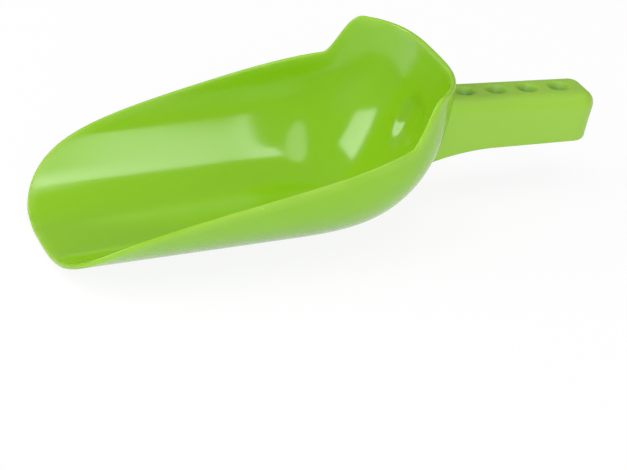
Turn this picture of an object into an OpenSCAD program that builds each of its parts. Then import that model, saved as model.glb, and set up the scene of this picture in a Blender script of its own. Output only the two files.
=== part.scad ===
// Sand shovel: a deep scoop with a raised hood at its back and a short open-bottomed handle.
// Lengths run from the lip (0) towards the handle (+X), the floor's underside is at height 0,
// and the finished part is moved so that its origin lies under the middle of its length.

/* [Bowl] */
// Length of the bowl, from the lip to the outside of the hood's back
bowl_l = 186; // [170:1:200]
// Length of the straight trough, from the lip to where the back starts to round
trough_l = 100; // [85:1:112]
// Length of the flat floor along the middle
floor_l = 133; // [124:1:146]
// Half width of the flat floor
floor_half = 12; // [8:0.5:20]
// Half width of the bowl at the height where its side walls stand upright
bowl_half = 69; // [60:0.5:78]
// Height at which the side walls stand upright
side_depth = 42; // [36:1:60]
// Fullness of the side walls' section, where 2 is an ellipse
side_n = 2; // [1.7:0.1:2.6]
// Height at which the back stands upright
back_depth = 70; // [66:1:90]
// Fullness of the back's section, where 2 is an ellipse
back_n = 1.7; // [1.5:0.1:2.4]
// Fullness of the rounded back seen from above, where 2 is an ellipse
plan_n = 3; // [2.2:0.1:3.6]
// Wall thickness of the bowl
bowl_wall = 2.4; // [1.8:0.1:3]

/* [Rim] */
// Height that the rim gains round the corners of the lip
lip_rise = 21.2; // [17:0.1:27]
// Distance from the lip in which it gains most of that height
lip_run = 17.4; // [11:0.1:22]
// Rise of the rim behind the lip, per millimetre of length
rim_slope = 0.184; // [0.13:0.002:0.21]
// How far the middle of the lip stands in front of its corners
lip_bow = 0.6; // [0.3:0.1:2]
// Where the step up to the hood starts, from the lip
step_x = 154; // [146:1:160]
// Length of the step
step_l = 16; // [10:0.5:20]
// Height of the hood's rim
hood_z = 68.5; // [62:0.5:74]

/* [Handle] */
// Overall length, from the lip to the end of the handle
overall_l = 261; // [254:1:290]
// Width of the handle
handle_w = 28; // [24:0.5:34]
// Height of the handle's top where it leaves the bowl
handle_z = 48.5; // [44:0.5:54]
// Height of the handle's sides where it leaves the bowl
handle_h = 24; // [20:0.2:28]
// Fall of the handle's top towards its end, in degrees
handle_droop = 4.5; // [0:0.5:7]
// Angle between the handle's top and its lower edge, in degrees
handle_taper = 1.7; // [0:0.1:3]
// Wall thickness of the handle
handle_wall = 2.2; // [1.6:0.1:3]
// Radius of the long top edges
edge_r = 7; // [4:0.5:9]
// Radius of the end's two corners seen from above
end_plan_r = 11.5; // [6:0.5:11.5]
// Radius of the end's top seen from the side
end_top_r = 7.5; // [4:0.5:10]
// Radius of the end's lower corner seen from the side
end_low_r = 2; // [1:0.5:4]
// Lean of the end, in degrees from square to the top
end_lean = 18; // [5:1:22]
// Length of handle, from the bowl's back, in which the lower edge sweeps down to the bowl
root_l = 27; // [20:1:32]
// Radius of that sweep
root_r = 110; // [80:5:140]
// Angle that the lower edge turns through in the sweep
root_turn = 20; // [12:1:24]

/* [Dimples] */
// Number of dimples along the top of the handle
dimple_count = 4; // [1:1:4]
// Distance from the bowl's back to the first dimple
dimple_first = 14; // [13:0.5:17]
// Distance from one dimple to the next
dimple_pitch = 15.5; // [12:0.1:16]
// Width of a dimple
dimple_d = 8; // [5:0.5:10]
// Depth of a dimple
dimple_depth = 2; // [1:0.1:2.5]

/* [Pocket] */
// Depth of the pocket in the bowl's back, where the handle's hollow starts
pocket_depth = 3.5; // [3:0.1:5]
// How far the pocket reaches down, from the handle's top
pocket_low = 28.5; // [24:0.5:30]
// Radius of the pocket's upper corners
pocket_top_r = 7; // [4:0.5:8]
// Radius of the pocket's lower corners
pocket_low_r = 4; // [2:0.5:6]

/* [Joint] */
// Gap between the handle and the bowl's back, and between the handle and the tang inside it
joint_gap = 0.15; // [0.1:0.05:0.3]
// Wall thickness of the tang
tang_wall = 2; // [1.5:0.1:2.5]
// How far the tang's lower edge stays above the handle's lower edge
tang_recess = 3; // [1:0.5:6]
// Room between the end of the tang and the underside of the first dimple
tang_room = 1.5; // [1:0.1:2]

/* [Hidden] */

bowl_green = [0.50, 0.77, 0.13];
handle_green = [0.56, 0.79, 0.27];

// Rows and columns of facets in the bowl's wall
trough_rows = 22;
back_rows = 32;
rows = trough_rows + back_rows;
floor_cols = 2;
wall_cols = 12;
half_cols = floor_cols + wall_cols;
cols = 2 * half_cols + 1;
layer = (rows + 1) * cols;

// Facets along a rounded corner, and of the form that fits the handle to the bowl's back
corner_steps = 12;
seat_cols = 8;
seat_rows = 14;

// Spread of the wall between the floor's edge and where it stands upright, along and across the bowl
floor_back = floor_l - trough_l;
back_run = (bowl_l - floor_l) / share(hood_z, back_depth, back_n);
side_run = bowl_half - floor_half;

// The dimple's ball, and the bump that its underside makes in the handle's ceiling
dimple_r = (dimple_d * dimple_d / 4 + dimple_depth * dimple_depth) / (2 * dimple_depth);
dimple_up = dimple_r - dimple_depth;
bump_r = dimple_r + handle_wall;
bump_half = sqrt(bump_r * bump_r - pow(dimple_up + handle_wall, 2));
tang_end = dimple_first - bump_half - tang_room;
// How far the outside of the tang and of the pocket lies inside the handle's outside
tang_inset = handle_wall + joint_gap;

// The handle's end line, in the handle's own frame: along its top, down from its top
end_centre_x = (overall_l - bowl_l - end_top_r * (1 - sin(handle_droop))) / cos(handle_droop);
end_line = end_centre_x * cos(end_lean) + end_top_r * sin(end_lean) + end_top_r;
// Length of handle that runs forward into the bowl before it is cut to fit, and depth of the cutting forms
root_overrun = 40;
cut_depth = 60;
// Smallest radius of an inside corner
least_r = 0.6;
// How far the form that fits the handle to the bowl's back reaches past the handle, and below its sweep
seat_margin = 5;
seat_drop = 20;

function unit(v) = v / norm(v);
function clamp(v) = max(0, min(1, v));

// A wall's section: share of the way out at a height, and how fast it grows with the height
function share(z, depth, n) = pow(1 - pow(max(0, 1 - z / depth), n), 1 / n);
function growth(z, depth, n) =
    let (u = max(0, 1 - z / depth))
    pow(u, n - 1) * pow(1 - pow(u, n), 1 / n - 1) / depth;
function reach_x(z) = floor_back + back_run * share(z, back_depth, back_n);
function reach_y(z) = floor_half + side_run * share(z, side_depth, side_n);

// Height of the rim: up round the lip's corners, along the side, then a smooth step to the hood
function side_z(x) = lip_rise * (1 - exp(-x / lip_run)) + rim_slope * x;
function rim_z(x) =
    let (s = clamp((x - step_x) / step_l), low = side_z(min(x, step_x)))
    low + (hood_z - low) * s * s * (3 - 2 * s);

// A row of the bowl, from side to side: middle of the floor, x at the rim, and its two shares of the round back
function keel_x(i) = trough_l * pow(min(1, i / trough_rows), 2);
function bow(i) = lip_bow * (1 - keel_x(i) / trough_l);
function rim_x(i) = i <= trough_rows
    ? keel_x(i) + bow(i)
    : trough_l + (bowl_l - trough_l) * sin(90 * (i - trough_rows) / back_rows);
function along(i) = i == rows ? 1 : clamp((rim_x(i) - trough_l) / reach_x(rim_z(rim_x(i))));
function across(i) = i == rows ? 0 : pow(1 - pow(along(i), plan_n), 1 / plan_n);

// A point of the outside, n columns from the middle line, and the direction there into the bowl
function wall_z(i, n) = rim_z(rim_x(i)) * (1 - cos(90 * max(0, n - floor_cols) / wall_cols));
function outside(i, n) =
    let (z = wall_z(i, n), part = min(1, n / floor_cols), y = part * reach_y(z) * across(i))
    let (bulge = bow(i) * pow(y / reach_y(rim_z(rim_x(i))), 2))
    [keel_x(i) + bulge + part * reach_x(z) * along(i), y, z];
function inward(i, n) =
    n <= floor_cols ? [0, 0, 1] :
    let (c = along(i), s = across(i), z = wall_z(i, n), far = reach_x(z), wide = reach_y(z))
    let (back_lean = back_run * growth(z, back_depth, back_n) / far)
    let (side_lean = side_run * growth(z, side_depth, side_n) / wide)
    let (up = pow(c, plan_n) * back_lean + pow(s, plan_n) * side_lean)
    unit([-pow(c, plan_n - 1) / far, -pow(s, plan_n - 1) / wide, up]);
function bowl_point(i, j, depth) =
    let (n = abs(j - half_cols), side = j < half_cols ? -1 : 1)
    let (p = outside(i, n) + depth * inward(i, n))
    [p.x, side * p.y, p.z];

// Numbers of the points: the rows of the round back share one middle point, and the last row is one line
function outer_id(i, j) =
    i > trough_rows && j == half_cols ? trough_rows * cols + half_cols :
    i == rows ? i * cols + min(j, cols - 1 - j) :
    i * cols + j;
function inner_id(i, j) = layer + outer_id(i, j);
function split(a, b, c, d, first) = first ? [[a, b, c], [a, c, d]] : [[a, b, d], [b, c, d]];
function whole(faces) = [for (f = faces) if (f[0] != f[1] && f[1] != f[2] && f[2] != f[0]) f];

// Thin shell of the bowl, between its outside and the same surface one wall further in
module bowl_wall_form() {
    points = [
        for (depth = [0, bowl_wall], i = [0:rows], j = [0:cols - 1]) bowl_point(i, j, depth)
    ];
    skins = [
        for (i = [0:rows - 1], j = [0:cols - 2])
            let (k = i + 1, m = j + 1, near = j < half_cols)
            each concat(
                split(outer_id(i, j), outer_id(k, j), outer_id(k, m), outer_id(i, m), near),
                split(inner_id(i, m), inner_id(k, m), inner_id(k, j), inner_id(i, j), near)
            )
    ];
    rims = [
        for (i = [0:rows - 1])
            let (k = i + 1, m = cols - 1)
            each concat(
                split(inner_id(i, 0), inner_id(k, 0), outer_id(k, 0), outer_id(i, 0), true),
                split(outer_id(i, m), outer_id(k, m), inner_id(k, m), inner_id(i, m), true)
            )
    ];
    lip = [
        for (j = [0:cols - 2])
            let (m = j + 1)
            each split(inner_id(0, m), inner_id(0, j), outer_id(0, j), outer_id(0, m), true)
    ];
    polyhedron(points, whole(concat(skins, rims, lip)), convexity = 6);
}

// The solid in front of the bowl's back where the handle meets it, moved back by a gap
function back_x(y, z) = trough_l + reach_x(z) * pow(1 - pow(abs(y) / reach_y(z), plan_n), 1 / plan_n);
module back_form(gap) {
    half = handle_w / 2 + seat_margin;
    low = max(0, handle_z - handle_h - seat_drop);
    high = handle_z + seat_margin;
    grid_y = [for (j = [0:seat_cols]) half * (2 * j / seat_cols - 1)];
    grid_z = [for (i = [0:seat_rows]) low + (high - low) * i / seat_rows];
    seat = [for (z = grid_z, y = grid_y) [back_x(y, z) + gap, y, z]];
    flat = [for (z = grid_z, y = grid_y) [trough_l, y, z]];
    w = seat_cols + 1;
    last = seat_rows * w;
    n = len(seat);
    fronts = [
        for (i = [0:seat_rows - 1], j = [0:seat_cols - 1])
            let (a = i * w + j)
            each concat(
                split(a, a + w, a + w + 1, a + 1, j < seat_cols / 2),
                split(n + a + 1, n + a + w + 1, n + a + w, n + a, j < seat_cols / 2)
            )
    ];
    sides = [
        for (i = [0:seat_rows - 1])
            let (a = i * w, b = a + seat_cols)
            each concat(
                split(a, n + a, n + a + w, a + w, true),
                split(b, b + w, n + b + w, n + b, true)
            )
    ];
    ends = [
        for (j = [0:seat_cols - 1])
            let (a = j, b = last + j)
            each concat(
                split(a, a + 1, n + a + 1, n + a, true),
                split(b, n + b, n + b + 1, b + 1, true)
            )
    ];
    polyhedron(concat(seat, flat), concat(fronts, sides, ends), convexity = 4);
}

// An outline with its corners rounded: each corner is [x, y, radius], and 0 leaves it sharp
function corner(a, b, c, r) =
    r == 0 ? [b] :
    let (u = unit(a - b), v = unit(c - b), half = acos(u * v) / 2)
    let (centre = b + unit(u + v) * r / sin(half), from = b + u * r / tan(half) - centre)
    let (to = b + v * r / tan(half) - centre, start = atan2(from.y, from.x))
    let (turn = atan2(from.x * to.y - from.y * to.x, from * to))
    [for (k = [0:corner_steps]) let (t = start + turn * k / corner_steps) centre + r * [cos(t), sin(t)]];
function flat_point(p) = [p.x, p.y];
function rounded(path) =
    let (n = len(path))
    [
        for (k = [0:n - 1])
            let (a = flat_point(path[(k + n - 1) % n]), c = flat_point(path[(k + 1) % n]))
            each corner(a, flat_point(path[k]), c, path[k].z)
    ];

// The handle's end line at a depth below its top, moved in by an inset
function end_x(z, inset) = (end_line - inset + z * sin(end_lean)) / cos(end_lean);

// The handle's frame: X along its top from the bowl's back, Z up from its top
module on_handle() {
    translate([bowl_l, 0, handle_z]) rotate([0, handle_droop, 0]) children();
}

// The handle seen from the side, with the sweep of its lower edge down to the bowl
module handle_side() {
    slope = tan(handle_taper);
    low_x = (end_line - handle_h * sin(end_lean)) / (cos(end_lean) - slope * sin(end_lean));
    sweep_x = root_l - root_r * tan(root_turn / 2);
    sweep_z = sweep_x * slope - handle_h;
    start_z = sweep_z - (sweep_x + root_overrun) * tan(root_turn + handle_taper);
    polygon(rounded([
        [-root_overrun, 0, 0],
        [end_x(0, 0), 0, end_top_r],
        [low_x, low_x * slope - handle_h, end_low_r],
        [sweep_x, sweep_z, root_r],
        [-root_overrun, start_z, 0]
    ]));
}

// The same from the side, moved in by an inset and open below
module channel_side(inset) {
    polygon(rounded([
        [-root_overrun, -inset, 0],
        [end_x(-inset, inset), -inset, max(end_top_r - inset, least_r)],
        [end_x(-cut_depth, inset), -cut_depth, 0],
        [-root_overrun, -cut_depth, 0]
    ]));
}

// A bar of the handle's section and plan, moved in by an inset and cut to a side view
module handle_bar(inset) {
    half = handle_w / 2 - inset;
    side_r = max(edge_r - inset, least_r);
    plan_r = max(end_plan_r - inset, least_r);
    length = end_x(0, 0) + root_overrun;
    plan_end = end_centre_x + end_top_r - inset;
    intersection() {
        translate([-root_overrun, 0, 0]) rotate([90, 0, 90]) linear_extrude(length)
            polygon(rounded([
                [-half, -cut_depth, 0],
                [half, -cut_depth, 0],
                [half, -inset, side_r],
                [-half, -inset, side_r]
            ]));
        translate([0, 0, -cut_depth]) linear_extrude(cut_depth)
            polygon(rounded([
                [-root_overrun, -half, 0],
                [plan_end, -half, plan_r],
                [plan_end, half, plan_r],
                [-root_overrun, half, 0]
            ]));
        rotate([90, 0, 0]) linear_extrude(handle_w, center = true) children();
    }
}

module dimple_balls(r) {
    for (k = [0:dimple_count - 1])
        translate([dimple_first + k * dimple_pitch, 0, dimple_up]) sphere(r);
}

// Short channel on the bowl's back that the handle slides over
module tang() {
    difference() {
        on_handle() difference() {
            intersection() {
                handle_bar(tang_inset) channel_side(tang_inset);
                translate([-root_overrun, -handle_w / 2, tang_recess - handle_h])
                    cube([root_overrun + tang_end, handle_w, handle_h]);
            }
            handle_bar(tang_inset + tang_wall) channel_side(tang_inset + tang_wall);
        }
        back_form(-bowl_wall / 2);
    }
}

// A bar of the pocket's arched section, one wall larger for its outside, and cut to a depth behind the bowl's back
module pocket_bar(wall, depth) {
    half = handle_w / 2 - tang_inset - bowl_wall + wall;
    top = wall - tang_inset - bowl_wall;
    low = -pocket_low - wall;
    intersection() {
        on_handle() translate([-root_overrun, 0, 0]) rotate([90, 0, 90]) linear_extrude(2 * root_overrun)
            polygon(rounded([
                [-half, low, pocket_low_r + wall],
                [half, low, pocket_low_r + wall],
                [half, top, pocket_top_r + wall],
                [-half, top, pocket_top_r + wall]
            ]));
        back_form(depth);
    }
}
module pocket_hollow() {
    pocket_bar(0, pocket_depth - bowl_wall);
}
module pocket_wall() {
    difference() {
        pocket_bar(bowl_wall, pocket_depth);
        back_form(-bowl_wall / 2);
    }
}

// The bowl: trough, lip, rounded back and hood in one wall, with the pocket and the tang that carries the handle
module scoop_shell() {
    color(bowl_green) translate([-overall_l / 2, 0, 0]) {
        difference() {
            union() {
                bowl_wall_form();
                pocket_wall();
            }
            pocket_hollow();
        }
        tang();
    }
}

// The handle: a channel with a dimpled top, a leaning round end and a root cut to fit the bowl's back
module handle_grip() {
    color(handle_green) translate([-overall_l / 2, 0, 0]) difference() {
        on_handle() difference() {
            handle_bar(0) handle_side();
            difference() {
                handle_bar(handle_wall) channel_side(handle_wall);
                dimple_balls(bump_r);
            }
            dimple_balls(dimple_r);
        }
        back_form(joint_gap);
    }
}

scoop_shell();
handle_grip();
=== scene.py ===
import math
import bmesh
import bpy
from mathutils import Matrix, Vector
from mathutils.kdtree import KDTree


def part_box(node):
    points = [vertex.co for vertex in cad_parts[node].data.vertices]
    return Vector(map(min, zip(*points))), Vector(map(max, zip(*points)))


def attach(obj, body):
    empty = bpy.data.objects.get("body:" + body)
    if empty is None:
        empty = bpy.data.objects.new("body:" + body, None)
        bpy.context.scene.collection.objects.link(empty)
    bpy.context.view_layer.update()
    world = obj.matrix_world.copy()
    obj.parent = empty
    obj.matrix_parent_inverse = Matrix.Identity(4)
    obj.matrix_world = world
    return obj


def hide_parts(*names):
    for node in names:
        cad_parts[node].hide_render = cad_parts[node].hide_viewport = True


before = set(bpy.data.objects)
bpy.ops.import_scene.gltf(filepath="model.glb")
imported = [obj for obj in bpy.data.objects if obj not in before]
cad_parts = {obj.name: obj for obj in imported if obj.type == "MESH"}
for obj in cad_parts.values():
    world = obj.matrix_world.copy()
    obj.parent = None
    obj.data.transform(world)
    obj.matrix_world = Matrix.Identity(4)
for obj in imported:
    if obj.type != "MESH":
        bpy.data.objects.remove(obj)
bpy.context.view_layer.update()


# Bowl
# One thin moulded wall of lime plastic: a straight trough with a round-cornered lip, a rounded back with a
# shallow arched pocket, and a hood that steps up above the side rims. All its edges are rounded.
mm = 0.001
lip_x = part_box("scoop_shell")[0].x
bowl_length = 186 * mm
trough_length = 100 * mm
floor_length = 133 * mm
floor_half = 12 * mm
bowl_half = 69 * mm
side_depth = 42 * mm
side_fullness = 2.0
back_depth = 70 * mm
back_fullness = 1.7
plan_fullness = 3.0
bowl_wall = 2.4 * mm
lip_rise = 21.2 * mm
lip_run = 17.4 * mm
rim_slope = 0.184
lip_bow = 1.8 * mm
lip_bow_power = 2.4
step_start = 152.5 * mm
step_length = 18 * mm
hood_height = 68.5 * mm
rim_crown = 1.0 * mm
rim_steps = 6
wear_reach = 4 * mm
handle_top = 48.5 * mm
handle_droop = math.radians(4.5)
pocket_half = 9.25 * mm
pocket_top = -4.75 * mm
pocket_low = -23 * mm
pocket_top_round = 7 * mm
pocket_low_round = 8.5 * mm
pocket_depth = 2 * mm
pocket_soft = 4.5 * mm
bowl_rows = 220
bowl_columns = 170
trough_share = 0.25
lip_crowding = 1.7
floor_share = 0.06
weld = 0.01 * mm


def wall_share(height, depth, fullness):
    return (1 - max(0, 1 - height / depth) ** fullness) ** (1 / fullness)


def reach_back(height):
    start = floor_length - trough_length
    run = (bowl_length - floor_length) / wall_share(hood_height, back_depth, back_fullness)
    return start + run * wall_share(height, back_depth, back_fullness)


def reach_side(height):
    return floor_half + (bowl_half - floor_half) * wall_share(height, side_depth, side_fullness)


def rim_height(x):
    low_x = min(x, step_start)
    low = lip_rise * (1 - math.exp(-low_x / lip_run)) + rim_slope * low_x
    step = max(0, min(1, (x - step_start) / step_length))
    return low + (hood_height - low) * step * step * (3 - 2 * step)


def edge_height(x):
    """Where the wall ends below the rim's round crown, which fades out into the lip."""
    return rim_height(x) - rim_crown * (1 - math.exp(-x / lip_run))


def bowl_place(u, v):
    """A point of the outside: u runs from the lip to the middle of the back, v from rim to rim."""
    keel = trough_length * min(1, u / trough_share) ** lip_crowding
    before_back = 1 - keel / trough_length
    bow = lip_bow * before_back
    along = 0
    rim_x = keel + bow
    if u > trough_share:
        turn = math.pi / 2 * (u - trough_share) / (1 - trough_share)
        spread = (math.sin(turn) ** plan_fullness + math.cos(turn) ** plan_fullness) ** (1 / plan_fullness)
        rim_x = trough_length + (bowl_length - trough_length) * math.sin(turn) / spread
        along = min(1, (rim_x - trough_length) / reach_back(rim_height(rim_x)))
    across = (1 - along ** plan_fullness) ** (1 / plan_fullness)
    climb = max(0, (abs(v) - floor_share) / (1 - floor_share))
    height = edge_height(rim_x) * (1 - math.cos(math.pi / 2 * climb))
    part = min(1, abs(v) / floor_share)
    side = part * reach_side(height) * across
    bulge = bow * (side / reach_side(edge_height(rim_x))) ** lip_bow_power
    x = keel + rim_crown * before_back + bulge + part * reach_back(height) * along
    return Vector((lip_x + x, math.copysign(side, v), height))


bowl_mesh = bmesh.new()
bmesh.ops.create_grid(bowl_mesh, x_segments=bowl_rows, y_segments=bowl_columns, size=1)
for vert in bowl_mesh.verts:
    vert.co = bowl_place((vert.co.x + 1) / 2, vert.co.y)
bmesh.ops.remove_doubles(bowl_mesh, verts=bowl_mesh.verts, dist=weld)
bmesh.ops.reverse_faces(bowl_mesh, faces=bowl_mesh.faces)
bowl_mesh.normal_update()

spot = bowl_mesh.verts.layers.float_vector.new("spot")
outward = bowl_mesh.verts.layers.float_vector.new("outward")
rim_way = bowl_mesh.verts.layers.float_vector.new("rim_way")
wear = bowl_mesh.verts.layers.float.new("rim_wear")
rim_verts = [vert for vert in bowl_mesh.verts if vert.is_boundary]
rim_edges = [edge for edge in bowl_mesh.edges if edge.is_boundary]
rim_tree = KDTree(len(rim_verts))
for index, vert in enumerate(rim_verts):
    rim_tree.insert(vert.co, index)
    ends = [edge.other_vert(vert).co for edge in vert.link_edges if edge.is_boundary]
    way = (ends[0] - ends[1]).cross(vert.normal).normalized()
    away = vert.co - vert.link_faces[0].calc_center_median()
    vert[rim_way] = way if way.dot(away) > 0 else -way
rim_tree.balance()
for vert in bowl_mesh.verts:
    vert[spot] = vert.co
    vert[outward] = vert.normal
    vert[wear] = max(0, 1 - rim_tree.find(vert.co)[2] / wear_reach)

inner_skin = bmesh.ops.duplicate(bowl_mesh, geom=bowl_mesh.faces[:])["geom"]
for part in inner_skin:
    if isinstance(part, bmesh.types.BMVert):
        part.co -= part[outward] * bowl_wall
inner_faces = [part for part in inner_skin if isinstance(part, bmesh.types.BMFace)]
bmesh.ops.reverse_faces(bowl_mesh, faces=inner_faces)

ring = rim_edges
for step in range(1, rim_steps + 1):
    turn = math.pi * step / rim_steps
    grown = bmesh.ops.extrude_edge_only(bowl_mesh, edges=ring)["geom"]
    for part in grown:
        if isinstance(part, bmesh.types.BMVert):
            rise = part[rim_way] * rim_crown * math.sin(turn)
            part.co = part[spot] + rise - part[outward] * bowl_wall * (1 - math.cos(turn)) / 2
    ring = [part for part in grown if isinstance(part, bmesh.types.BMEdge) and part.is_boundary]
bmesh.ops.remove_doubles(bowl_mesh, verts=bowl_mesh.verts, dist=weld)
for helper in ("spot", "outward", "rim_way"):
    bowl_mesh.verts.layers.float_vector.remove(bowl_mesh.verts.layers.float_vector[helper])


def handle_frame():
    """The handle's own frame: X along its top from the bowl's back, Z up from its top."""
    turn = Matrix.Rotation(handle_droop, 4, "Y")
    return Matrix.Translation((lip_x + bowl_length, 0, handle_top)) @ turn


def pocket_share(y, z):
    """How much of the pocket's full depth a place in its arched outline has, with a soft edge."""
    middle = (pocket_top + pocket_low) / 2
    round_off = pocket_top_round if z > middle else pocket_low_round
    over_y = abs(y) - pocket_half + round_off
    over_z = abs(z - middle) - (pocket_top - pocket_low) / 2 + round_off
    gap = min(max(over_y, over_z), 0) + math.hypot(max(over_y, 0), max(over_z, 0)) - round_off
    share = max(0, min(1, (pocket_soft - gap) / (2 * pocket_soft)))
    return share * share * (3 - 2 * share)


handle_world = handle_frame()
into_handle = handle_world.inverted()
pocket_way = handle_world.to_3x3() @ Vector((pocket_depth, 0, 0))
for vert in bowl_mesh.verts:
    if vert.co.x > lip_x + floor_length:
        place = into_handle @ vert.co
        vert.co += pocket_way * pocket_share(place.y, place.z)
for face in bowl_mesh.faces:
    face.smooth = True
bowl_data = bpy.data.meshes.new("bowl")
bowl_mesh.to_mesh(bowl_data)
bowl_mesh.free()
bowl = bpy.data.objects.new("bowl", bowl_data)
bpy.context.scene.collection.objects.link(bowl)


gloss_drift = 0.04
rubbed_dulling = 0.2
# Painted shade: a darker green that stands in for the shade down in the handle's dimples.
painted_shade_green = (0.13, 0.33, 0.018, 1)
ripple_height = 0.2 * mm


def lime_plastic(name, green, shade, pale, gloss):
    """Glossy plastic with a slow drift, flow streaks, a worn rim, painted shade in marked hollows and a
    fine ripple.
    """
    material = bpy.data.materials.new(name)
    material.use_nodes = True
    nodes = material.node_tree.nodes
    links = material.node_tree.links
    skin = nodes["Principled BSDF"]
    place = nodes.new("ShaderNodeTexCoord")
    drift = nodes.new("ShaderNodeTexNoise")
    drift.inputs["Scale"].default_value = 14
    drift.inputs["Detail"].default_value = 3
    links.new(place.outputs["Object"], drift.inputs["Vector"])
    colour = nodes.new("ShaderNodeMix")
    colour.data_type = "RGBA"
    colour.inputs["A"].default_value = shade
    colour.inputs["B"].default_value = green
    links.new(drift.outputs["Fac"], colour.inputs["Factor"])

    flow_way = nodes.new("ShaderNodeMapping")
    flow_way.inputs["Scale"].default_value = (5, 90, 90)
    links.new(place.outputs["Object"], flow_way.inputs["Vector"])
    flow = nodes.new("ShaderNodeTexNoise")
    flow.inputs["Scale"].default_value = 1
    flow.inputs["Detail"].default_value = 2
    links.new(flow_way.outputs["Vector"], flow.inputs["Vector"])
    streak = nodes.new("ShaderNodeMapRange")
    streak.inputs["From Min"].default_value = 0.45
    streak.inputs["From Max"].default_value = 0.75
    streak.inputs["To Max"].default_value = 0.25
    links.new(flow.outputs["Fac"], streak.inputs["Value"])
    flowed = nodes.new("ShaderNodeMix")
    flowed.data_type = "RGBA"
    flowed.inputs["B"].default_value = shade
    links.new(streak.outputs["Result"], flowed.inputs["Factor"])
    links.new(colour.outputs["Result"], flowed.inputs["A"])

    worn = nodes.new("ShaderNodeAttribute")
    worn.attribute_name = "rim_wear"
    scuff = nodes.new("ShaderNodeTexNoise")
    scuff.inputs["Scale"].default_value = 70
    scuff.inputs["Detail"].default_value = 2
    links.new(place.outputs["Object"], scuff.inputs["Vector"])
    rubbed = nodes.new("ShaderNodeMath")
    rubbed.operation = "MULTIPLY"
    links.new(worn.outputs["Fac"], rubbed.inputs[0])
    links.new(scuff.outputs["Fac"], rubbed.inputs[1])
    faded = nodes.new("ShaderNodeMix")
    faded.data_type = "RGBA"
    faded.inputs["B"].default_value = pale
    links.new(rubbed.outputs[0], faded.inputs["Factor"])
    links.new(flowed.outputs["Result"], faded.inputs["A"])
    # Painted shade: where a mesh marks a dimple, the colour turns to the darker painted-shade green.
    painted_shade_input = nodes.new("ShaderNodeAttribute")
    painted_shade_input.attribute_name = "hollow"
    painted_shade_mix = nodes.new("ShaderNodeMix")
    painted_shade_mix.data_type = "RGBA"
    painted_shade_mix.inputs["B"].default_value = painted_shade_green
    links.new(painted_shade_input.outputs["Fac"], painted_shade_mix.inputs["Factor"])
    links.new(faded.outputs["Result"], painted_shade_mix.inputs["A"])
    links.new(painted_shade_mix.outputs["Result"], skin.inputs["Base Color"])

    polish = nodes.new("ShaderNodeMapRange")
    polish.inputs["To Min"].default_value = gloss - gloss_drift
    polish.inputs["To Max"].default_value = gloss + gloss_drift
    links.new(drift.outputs["Fac"], polish.inputs["Value"])
    dulled = nodes.new("ShaderNodeMath")
    dulled.operation = "MULTIPLY_ADD"
    dulled.inputs[1].default_value = rubbed_dulling
    links.new(rubbed.outputs[0], dulled.inputs[0])
    links.new(polish.outputs["Result"], dulled.inputs[2])
    links.new(dulled.outputs[0], skin.inputs["Roughness"])

    ripple = nodes.new("ShaderNodeTexNoise")
    ripple.inputs["Scale"].default_value = 160
    ripple.inputs["Detail"].default_value = 2
    links.new(place.outputs["Object"], ripple.inputs["Vector"])
    bump = nodes.new("ShaderNodeBump")
    bump.inputs["Strength"].default_value = 0.03
    bump.inputs["Distance"].default_value = ripple_height
    links.new(ripple.outputs["Fac"], bump.inputs["Height"])
    links.new(bump.outputs["Normal"], skin.inputs["Normal"])
    skin.inputs["IOR"].default_value = 1.55
    return material


bowl_green = (0.25, 0.53, 0.010, 1)
bowl_shade = (0.235, 0.51, 0.008, 1)
bowl_pale = (0.33, 0.59, 0.045, 1)
bowl_gloss = 0.13
bowl_lime = lime_plastic("bowl_lime", bowl_green, bowl_shade, bowl_pale, bowl_gloss)
bowl_data.materials.append(bowl_lime)
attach(bowl, "root")
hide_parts("scoop_shell")


# Tang
# A short channel of the same lime plastic, moulded onto the bowl's back. The handle slides over it, so
# only its lower edges and its end show, from below.
handle_half = 14 * mm
handle_depth = 24 * mm
handle_wall = 2.2 * mm
edge_round = 7 * mm
joint_gap = 0.15 * mm
tang_wall = 2 * mm
tang_inset = handle_wall + joint_gap
tang_end = 7.5 * mm
tang_low = 3 * mm - handle_depth
tang_top_part = 0.25
tang_round_part = 0.25
tang_rows = 16
tang_columns = 64
tang_edge_width = 0.3 * mm
sharp_edge = math.radians(50)
meeting_rounds = 12


def back_face(y, z):
    wide = min(1, abs(y) / reach_side(z)) ** plan_fullness
    return lip_x + trough_length + reach_back(z) * (1 - wide) ** (1 / plan_fullness)


def root_start(y, z, sink):
    """Where a line along the handle meets the bowl's back, sunk a little into its wall."""
    x = 0.0
    for _ in range(meeting_rounds):
        place = handle_world @ Vector((x, y, z))
        x += back_face(place.y, max(0, place.z)) - sink - place.x
    return x


def tang_place(s, t):
    half = handle_half - tang_inset
    bend = edge_round - tang_inset
    far = abs(t)
    if far < tang_top_part:
        y, z = (half - bend) * far / tang_top_part, -tang_inset
    elif far < tang_top_part + tang_round_part:
        turn = math.pi / 2 * (far - tang_top_part) / tang_round_part
        y, z = half - bend * (1 - math.sin(turn)), -tang_inset - bend * (1 - math.cos(turn))
    else:
        drop = (far - tang_top_part - tang_round_part) / (1 - tang_top_part - tang_round_part)
        y, z = half, -tang_inset - bend + (tang_low + tang_inset + bend) * drop
    start = root_start(y, z, bowl_wall / 2)
    return handle_world @ Vector((start + (tang_end - start) * s, math.copysign(y, t), z))


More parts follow.
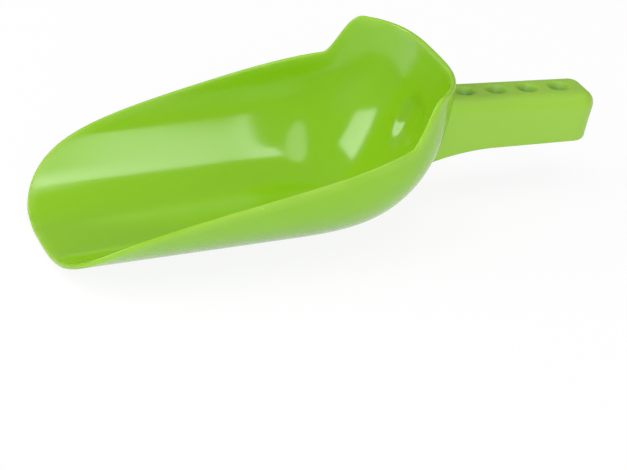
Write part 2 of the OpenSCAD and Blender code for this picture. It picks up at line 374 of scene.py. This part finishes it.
tang_mesh = bmesh.new()
bmesh.ops.create_grid(tang_mesh, x_segments=tang_rows, y_segments=tang_columns, size=1)
for vert in tang_mesh.verts:
    vert.co = tang_place((vert.co.x + 1) / 2, vert.co.y)
for face in tang_mesh.faces:
    face.smooth = True
tang_data = bpy.data.meshes.new("tang")
tang_mesh.to_mesh(tang_data)
tang_mesh.free()
tang = bpy.data.objects.new("tang", tang_data)
bpy.context.scene.collection.objects.link(tang)
tang_thickness = tang.modifiers.new("wall", "SOLIDIFY")
tang_thickness.thickness = tang_wall
tang_thickness.offset = -1
tang_edges = tang.modifiers.new("edges", "BEVEL")
tang_edges.width = tang_edge_width
tang_edges.segments = 2
tang_edges.limit_method = "ANGLE"
tang_edges.angle_limit = sharp_edge
tang_data.materials.append(bowl_lime)
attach(tang, "root")


# Handle
# A moulded channel of paler lime plastic, open below, with a rounded top, flat sides, a round leaning end
# and four dimples darkened with painted shade. Its root fits over the tang and flares into the bowl's
# back.
handle_taper = math.radians(1.7)
end_round = 8 * mm
end_reach = 76.5 * mm
end_lean = math.tan(math.radians(10.5))
end_low_run = 4.5 * mm
end_low_rise = 2 * mm
sweep_length = 27 * mm
sweep_round = 110 * mm
root_flare = 3.5 * mm
root_turn = 0.8
root_sink = 0.6 * mm
dimple_first = 14 * mm
dimple_pitch = 15.5 * mm
dimple_radius = 6.4 * mm
dimple_deep = 3 * mm
dimple_count = 4
# Painted shade: how far from each dimple's middle, and how strongly, the colour is darkened.
painted_shade_radius = 5.6 * mm
painted_shade_most = 0.95
side_share = 0.84
corner_share = 0.12
wall_part = 0.34
round_part = 0.27
handle_rows = 320
handle_columns = 48
handle_edge_width = 0.5 * mm
end_low = end_reach * math.tan(handle_taper) - handle_depth
end_low_reach = end_reach + end_lean * end_low


def lower_edge(x):
    short = max(0, sweep_length - x)
    drop = sweep_round - math.sqrt(sweep_round ** 2 - short ** 2)
    near_end = max(0, x - end_low_reach + end_low_run) / end_low_run
    lift = end_low_rise * (1 - math.sqrt(max(0, 1 - near_end ** 2)))
    return x * math.tan(handle_taper) - handle_depth - drop + lift


def handle_place(s, t):
    if t < wall_part:
        inset, level, face = 0, None, 0
    elif t < wall_part + round_part:
        face = math.pi / 2 * (t - wall_part) / round_part
        inset, level = edge_round * (1 - math.cos(face)), -edge_round * (1 - math.sin(face))
    else:
        face = math.pi / 2
        flat = (t - wall_part - round_part) / (1 - wall_part - round_part)
        inset, level = edge_round + (handle_half - edge_round) * flat, 0
    far = abs(s)
    end_height = end_low + (-edge_round - end_low) * t / wall_part if level is None else level
    reach = end_reach + end_lean * end_height
    corner_x = reach - end_round
    run = 0
    if far > 1 - side_share:
        run = (far - 1 + side_share) / side_share
        x, y = corner_x - max(0, inset - end_round), handle_half - inset
    elif far > 1 - side_share - corner_share:
        turn = math.pi / 2 * (1 - side_share - far) / corner_share
        bend = max(0, end_round - inset)
        x = corner_x - max(0, inset - end_round) + bend * math.sin(turn)
        y = handle_half - max(end_round, inset) + bend * math.cos(turn)
    else:
        x = reach - inset
        y = (handle_half - max(end_round, inset)) * far / (1 - side_share - corner_share)
    flare = 0
    if run > 0:
        guess = level if level is not None else lower_edge(0)
        for _ in range(2):
            start = root_start(y, guess, root_sink)
            here = x + (start - x) * run
            if level is None:
                low = lower_edge(here)
                guess = low + (-edge_round - low) * t / wall_part
        short = root_turn * max(0, root_flare - (here - start))
        flare = root_flare - math.sqrt(root_flare ** 2 - short ** 2)
        x = here
    z = level
    if z is None:
        low = lower_edge(x)
        z = low + (-edge_round - low) * t / wall_part
    for k in range(dimple_count):
        gap = math.hypot(x - dimple_first - k * dimple_pitch, y)
        if gap < dimple_radius and z > -edge_round:
            z -= dimple_deep / 2 * (1 + math.cos(math.pi * gap / dimple_radius))
    y += flare * math.cos(face)
    z += flare * math.sin(face)
    return handle_world @ Vector((x, math.copysign(y, s), z))


handle_mesh = bmesh.new()
bmesh.ops.create_grid(handle_mesh, x_segments=handle_rows, y_segments=handle_columns, size=1)
# Painted shade: a vertex mark that darkens the colour in the dimples, standing in for their shade.
hollow = handle_mesh.verts.layers.float.new("hollow")
for vert in handle_mesh.verts:
    vert.co = handle_place(vert.co.x, (vert.co.y + 1) / 2)
    place = into_handle @ vert.co
    for k in range(dimple_count):
        gap = math.hypot(place.x - dimple_first - k * dimple_pitch, place.y)
        if gap < painted_shade_radius and place.z > -edge_round:
            vert[hollow] = painted_shade_most * (1 - (gap / painted_shade_radius) ** 2)
bmesh.ops.remove_doubles(handle_mesh, verts=handle_mesh.verts, dist=weld)
for face in handle_mesh.faces:
    face.smooth = True
handle_data = bpy.data.meshes.new("handle")
handle_mesh.to_mesh(handle_data)
handle_mesh.free()
handle = bpy.data.objects.new("handle", handle_data)
bpy.context.scene.collection.objects.link(handle)
handle_thickness = handle.modifiers.new("wall", "SOLIDIFY")
handle_thickness.thickness = handle_wall
handle_thickness.offset = -1
handle_thickness.use_even_offset = True
handle_edges = handle.modifiers.new("edges", "BEVEL")
handle_edges.width = handle_edge_width
handle_edges.segments = 3
handle_edges.limit_method = "ANGLE"
handle_edges.angle_limit = sharp_edge
handle_green = (0.32, 0.58, 0.050, 1)
handle_shade = (0.305, 0.565, 0.042, 1)
handle_pale = (0.36, 0.62, 0.06, 1)
handle_gloss = 0.34
handle_lime = lime_plastic("handle_lime", handle_green, handle_shade, handle_pale, handle_gloss)
handle_data.materials.append(handle_lime)
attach(handle, "root")
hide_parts("handle_grip")


# Floor
# A white table that keeps a faint trace of the shadow.
floor_half_width = 3
floor_drop = 0.2 * mm
floor_white = (0.9, 0.9, 0.9, 1)
floor_glow = 0.9
floor_mirror_glow = 0.75
floor_mesh = bmesh.new()
bmesh.ops.create_grid(floor_mesh, x_segments=1, y_segments=1, size=floor_half_width)
bmesh.ops.translate(floor_mesh, verts=floor_mesh.verts, vec=(0, 0, -floor_drop))
floor_data = bpy.data.meshes.new("floor")
floor_mesh.to_mesh(floor_data)
floor_mesh.free()
floor = bpy.data.objects.new("floor", floor_data)
bpy.context.scene.collection.objects.link(floor)
paper = bpy.data.materials.new("paper")
paper.use_nodes = True
paper_nodes = paper.node_tree.nodes
paper_links = paper.node_tree.links
paper_nodes.remove(paper_nodes["Principled BSDF"])
sheet = paper_nodes.new("ShaderNodeBsdfDiffuse")
sheet.inputs["Color"].default_value = floor_white
white = paper_nodes.new("ShaderNodeEmission")
seen_by = paper_nodes.new("ShaderNodeLightPath")
mirrored = paper_nodes.new("ShaderNodeMath")
mirrored.operation = "MAXIMUM"
paper_links.new(seen_by.outputs["Is Glossy Ray"], mirrored.inputs[0])
paper_links.new(seen_by.outputs["Is Transmission Ray"], mirrored.inputs[1])
mirror_lift = paper_nodes.new("ShaderNodeMath")
mirror_lift.operation = "MULTIPLY"
mirror_lift.inputs[1].default_value = floor_mirror_glow
paper_links.new(mirrored.outputs[0], mirror_lift.inputs[0])
lift = paper_nodes.new("ShaderNodeMath")
lift.operation = "MULTIPLY_ADD"
lift.inputs[1].default_value = floor_glow
paper_links.new(seen_by.outputs["Is Camera Ray"], lift.inputs[0])
paper_links.new(mirror_lift.outputs[0], lift.inputs[2])
paper_mix = paper_nodes.new("ShaderNodeMixShader")
paper_links.new(lift.outputs[0], paper_mix.inputs["Fac"])
paper_links.new(sheet.outputs["BSDF"], paper_mix.inputs[1])
paper_links.new(white.outputs["Emission"], paper_mix.inputs[2])
paper_links.new(paper_mix.outputs["Shader"], paper_nodes["Material Output"].inputs["Surface"])
floor_data.materials.append(paper)


# Light
# A dim room, a long panel high overhead with one corner cut off, an oval one beside it, a smaller box
# behind the mouth on the left, and broad soft fills that show in no reflection.
room_level = 0.24
world = bpy.data.worlds.new("studio")
bpy.context.scene.world = world
world.use_nodes = True
sky = world.node_tree.nodes["Background"]
sky.inputs["Color"].default_value = (1, 1, 1, 1)
sky.inputs["Strength"].default_value = room_level


def soft_box(name, place, aim, width, depth, radiance, mirrored, roll=0, outline="RECTANGLE"):
    lamp = bpy.data.lights.new(name, "AREA")
    lamp.shape = outline
    lamp.size = width
    lamp.size_y = depth
    lamp.energy = radiance * width * depth * math.pi
    box = bpy.data.objects.new(name, lamp)
    box.location = place
    turned = (Vector(place) - Vector(aim)).to_track_quat("Z", "Y").to_matrix()
    box.rotation_euler = (turned @ Matrix.Rotation(roll, 3, "Z")).to_euler()
    box.visible_glossy = mirrored
    bpy.context.scene.collection.objects.link(box)


overhead_height = 12
overhead_radiance = 4.2
overhead_front = -0.85
overhead_back = 0.26
overhead_left = 0.205
overhead_least_left = 0.125
overhead_right = 0.285
overhead_right_slant = -0.045
overhead_corner = 0.6
overhead_strips = 12
middle = Vector((0, 0, 30)) * mm
oval_turn = math.radians(-20)
box_turn = math.radians(45)
strip_depth = (overhead_back - overhead_front) / overhead_strips
for k in range(overhead_strips):
    strip_y = overhead_front + (k + 0.5) * strip_depth
    strip_left = overhead_left * math.hypot(1, strip_y) - overhead_corner * max(strip_y, 0)
    strip_left = max(strip_left, overhead_least_left)
    strip_right = overhead_right + overhead_right_slant * min(strip_y, 0)
    strip_place = Vector(((strip_left + strip_right) / 2, strip_y, 1)) * overhead_height
    below = strip_place - Vector((0, 0, 1))
    width = (strip_right - strip_left) * overhead_height
    depth = strip_depth * overhead_height
    soft_box(f"overhead_box_{k}", strip_place, below, width, depth, overhead_radiance, True)
soft_box("oval_box", (-0.06, 0.07, 1), (-0.06, 0.07, 0), 0.2, 0.8, 1.6, True, oval_turn, "ELLIPSE")
soft_box("left_box", (-0.72, 0.67, 0.69), middle, 0.5, 0.5, 3.6, True, box_turn)
soft_box("front_fill", (0, -1.8, 0.6), middle, 1.2, 1.0, 4.7, False)
soft_box("side_fill", (-1.6, 0, 0.9), middle, 1.2, 1.0, 3.6, False)
soft_box("top_fill", (0.3, -0.2, 1.7), middle, 1.6, 1.6, 1.0, False)


# Camera
# A long lens from the front and a little to the left, above the rim, as in the picture.
view_turn = math.radians(18.69)
view_rise = math.radians(23.45)
view_distance = 1352 * mm
focal_pixels = 3000
image_width = 627
image_height = 470
seen_at = (318.53, 145.28)
sensor = 36
subject = Vector((-0.5, 0, 30)) * mm
right = Vector((math.cos(view_turn), -math.sin(view_turn), 0))
level_back = Vector((-math.sin(view_turn), -math.cos(view_turn), 0))
back = level_back * math.cos(view_rise) + Vector((0, 0, math.sin(view_rise)))
up = back.cross(right)
camera_data = bpy.data.cameras.new("camera")
camera_data.sensor_width = sensor
camera_data.lens = focal_pixels * sensor / image_width
camera = bpy.data.objects.new("camera", camera_data)
camera.location = subject + back * view_distance
pixel = view_distance / focal_pixels
aside = right * pixel * (seen_at[0] - image_width / 2)
aim = subject - aside + up * pixel * (seen_at[1] - image_height / 2)
camera.rotation_euler = (camera.location - aim).to_track_quat("Z", "Y").to_euler()
bpy.context.scene.collection.objects.link(camera)
bpy.context.scene.camera = camera
bpy.context.scene.view_settings.view_transform = "Standard"

bpy.context.view_layer.update()
